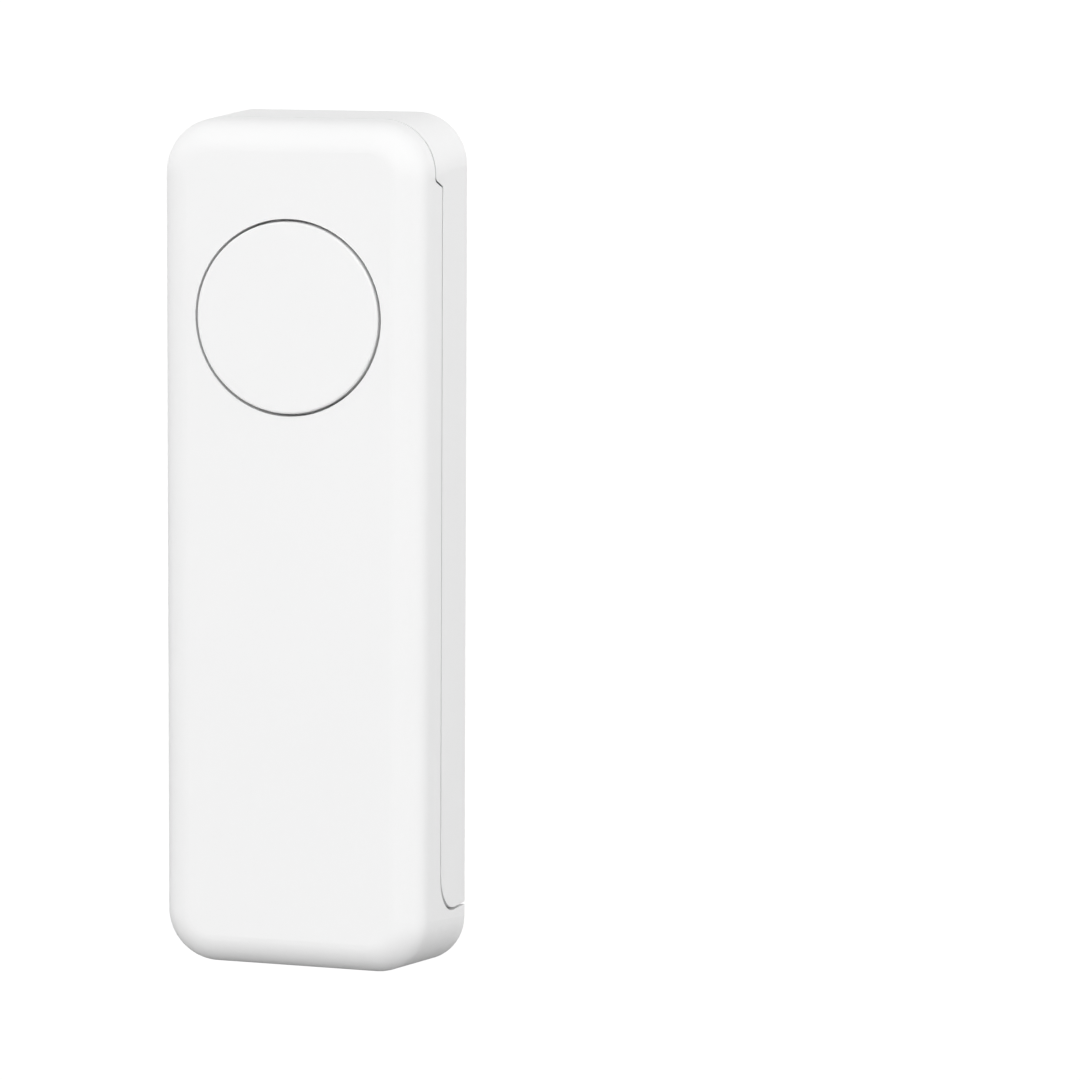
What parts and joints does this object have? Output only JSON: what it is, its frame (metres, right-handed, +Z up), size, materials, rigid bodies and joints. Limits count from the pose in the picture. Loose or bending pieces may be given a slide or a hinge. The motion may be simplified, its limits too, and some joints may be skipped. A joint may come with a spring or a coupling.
{
  "type": "door contact sensor",
  "caption": "Slim wireless door contact sensor with a large round push button, a reed switch and a coin cell behind a swing-open front.",
  "frame": {"origin": "centre of the adhesive pad's bonding face, which is the door surface; halfway up the sensor", "axes": "+X right as seen from the room, +Y into the door, +Z up along the sensor's length; the button faces -Y"},
  "size_m": [0.026, 0.0134, 0.08],
  "materials": {
    "case_plastic": "white moulded plastic with a very fine matt texture",
    "button_plastic": "white moulded plastic, satin",
    "foam_tape": "white double-sided foam tape",
    "circuit_board": "green solder mask over glass laminate",
    "plated_steel": "zinc plated",
    "black_plastic": "black moulded plastic",
    "white_plastic": "white moulded plastic",
    "spring_steel": "nickel-plated spring sheet",
    "cell_steel": "satin stainless sheet",
    "gasket_plastic": "dark sealing ring",
    "tinned_copper": "tinned",
    "reed_glass": "pale green glass",
    "shield_steel": "tin-plated pressed sheet",
    "copper_trace": "gold flash over copper",
    "capacitor_ceramic": "fired ceramic with tinned ends",
    "resistor_ceramic": "glazed ceramic with tinned ends",
    "can_aluminium": "drawn aluminium can",
    "led_lens": "clear moulded resin"
  },
  "bodies": {
    "cover": {"rear_cover": "case_plastic", "adhesive_pad": "foam_tape"},
    "front": {"front_housing": "case_plastic", "main_board": "circuit_board", "board_screws": "plated_steel", "battery_holder": "black_plastic", "positive_clip": "spring_steel", "negative_contact": "spring_steel", "coin_cell_can": "cell_steel", "coin_cell_gasket": "gasket_plastic", "coin_cell_cap": "cell_steel", "switch_base": "black_plastic", "switch_frame": "plated_steel", "switch_terminals": "tinned_copper", "switch_dome": "spring_steel", "tamper_base": "black_plastic", "reed_glass": "reed_glass", "reed_leads": "tinned_copper", "radio_board": "circuit_board", "radio_shield": "shield_steel", "radio_antenna": "copper_trace", "chip_capacitors": "capacitor_ceramic", "chip_resistors": "resistor_ceramic", "crystal": "shield_steel", "regulator_body": "black_plastic", "regulator_leads": "tinned_copper", "buffer_base": "black_plastic", "buffer_can": "can_aluminium", "led_base": "white_plastic", "led_lens": "led_lens", "test_pads": "copper_trace"},
    "button": {"button_cap": "button_plastic"},
    "stem": {"switch_stem": "black_plastic"},
    "plunger": {"tamper_plunger": "white_plastic"}
  },
  "joints": [
    {"name": "front_swing", "type": "hinge", "parent": "cover", "child": "front", "pos_m": [0, -0.00875, 0.0396], "axis": [-1, 0, 0], "range_deg": [0, 40]},
    {"name": "button_press", "type": "slide", "parent": "front", "child": "button", "axis": [0, 1, 0], "range_m": [0, 0.0003], "stiffness_N_per_m": 3000, "springref_m": -0.0001},
    {"name": "stem_press", "type": "slide", "parent": "front", "child": "stem", "axis": [0, 1, 0], "range_m": [0, 0.0003], "deforming": ["switch_dome"]},
    {"name": "tamper_release", "type": "slide", "parent": "front", "child": "plunger", "axis": [0, 1, 0], "range_m": [0, 0.0008]}
  ],
  "couplings": [
    {"joint": "stem_press", "follows": "button_press", "ratio": 1},
    {"joint": "tamper_release", "follows": "front_swing", "m_per_rad": 0.001145}
  ]
}
